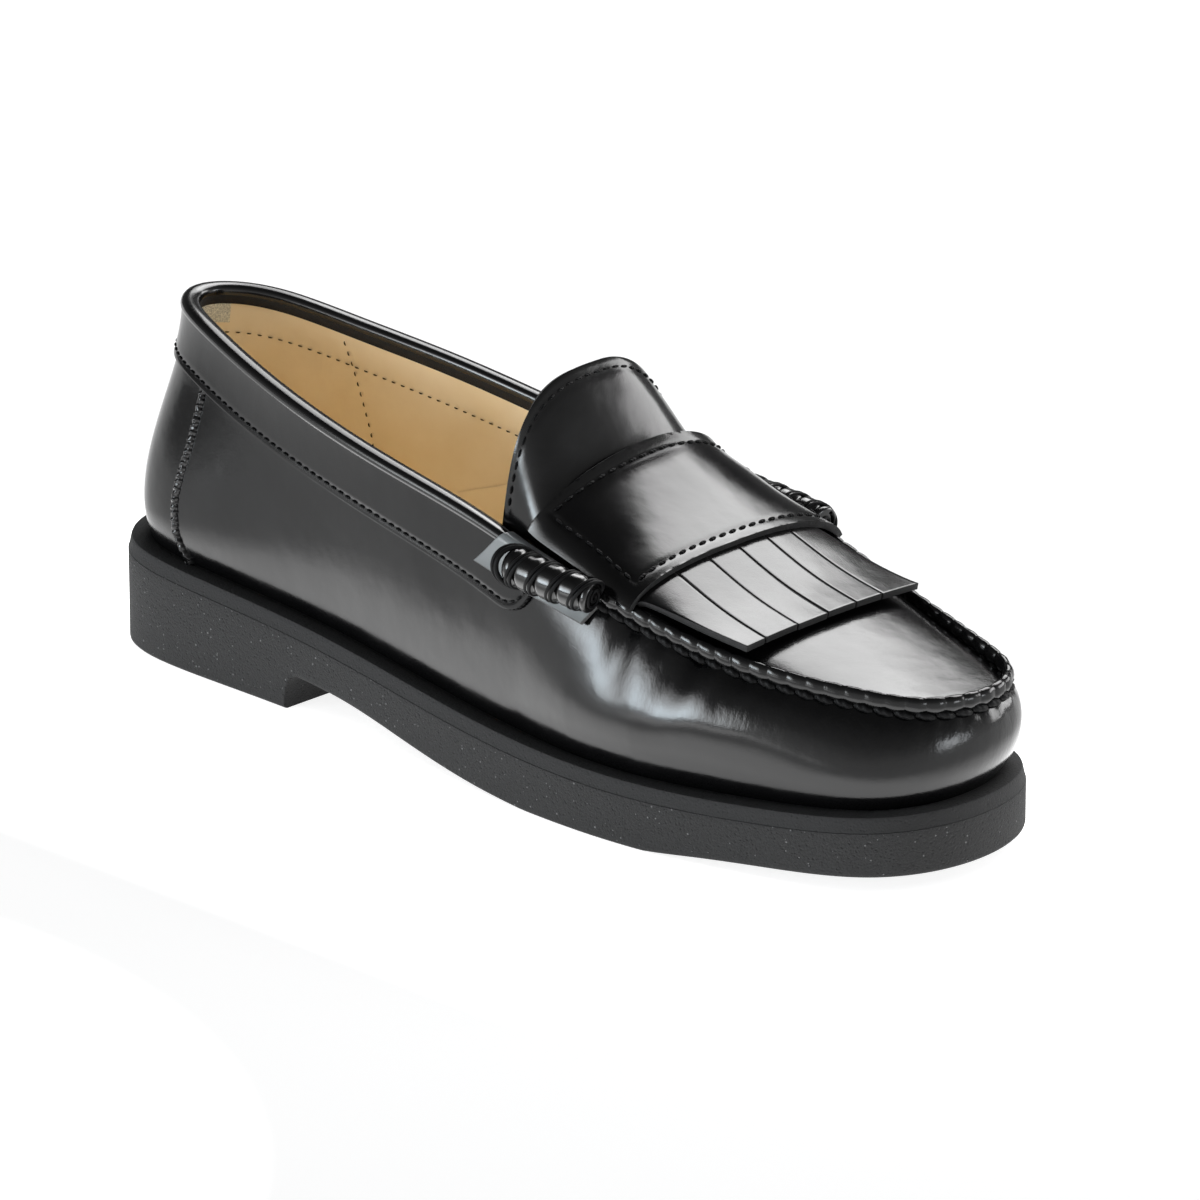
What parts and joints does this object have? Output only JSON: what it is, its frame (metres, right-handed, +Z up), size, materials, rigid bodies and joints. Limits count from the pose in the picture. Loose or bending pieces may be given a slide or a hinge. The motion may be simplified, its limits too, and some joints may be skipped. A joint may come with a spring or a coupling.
{
  "type": "fringed loafer",
  "caption": "Slip-on leather loafer with a moccasin seam, a saddle strap with rolled ends, a fringed tongue flap and a thick one-piece sole with a heel.",
  "frame": {"origin": "middle of the shoe's box, on the floor", "axes": "+X towards the toe, +Y towards the inner side of the foot, +Z up"},
  "size_m": [0.283, 0.097, 0.1057],
  "materials": {
    "upper_leather": "black high-gloss brushed leather",
    "trim_leather": "black glossy leather with black thread",
    "lining": "tan matte lining leather",
    "sole": "matte black foamed rubber with a fine sanded grain"
  },
  "bodies": {
    "root": {"outsole": "sole", "insole": "lining", "upper": "upper_leather", "tongue": "upper_leather", "saddle_strap": "upper_leather", "fringe": "upper_leather", "apron_seam": "trim_leather", "collar_binding": "trim_leather", "collar_band": "upper_leather", "heel_strip_lateral": "trim_leather", "heel_strip_medial": "trim_leather", "strap_tab_lateral": "trim_leather", "strap_tab_medial": "trim_leather", "beef_roll_lateral": "trim_leather", "beef_roll_medial": "trim_leather"}
  },
  "joints": []
}
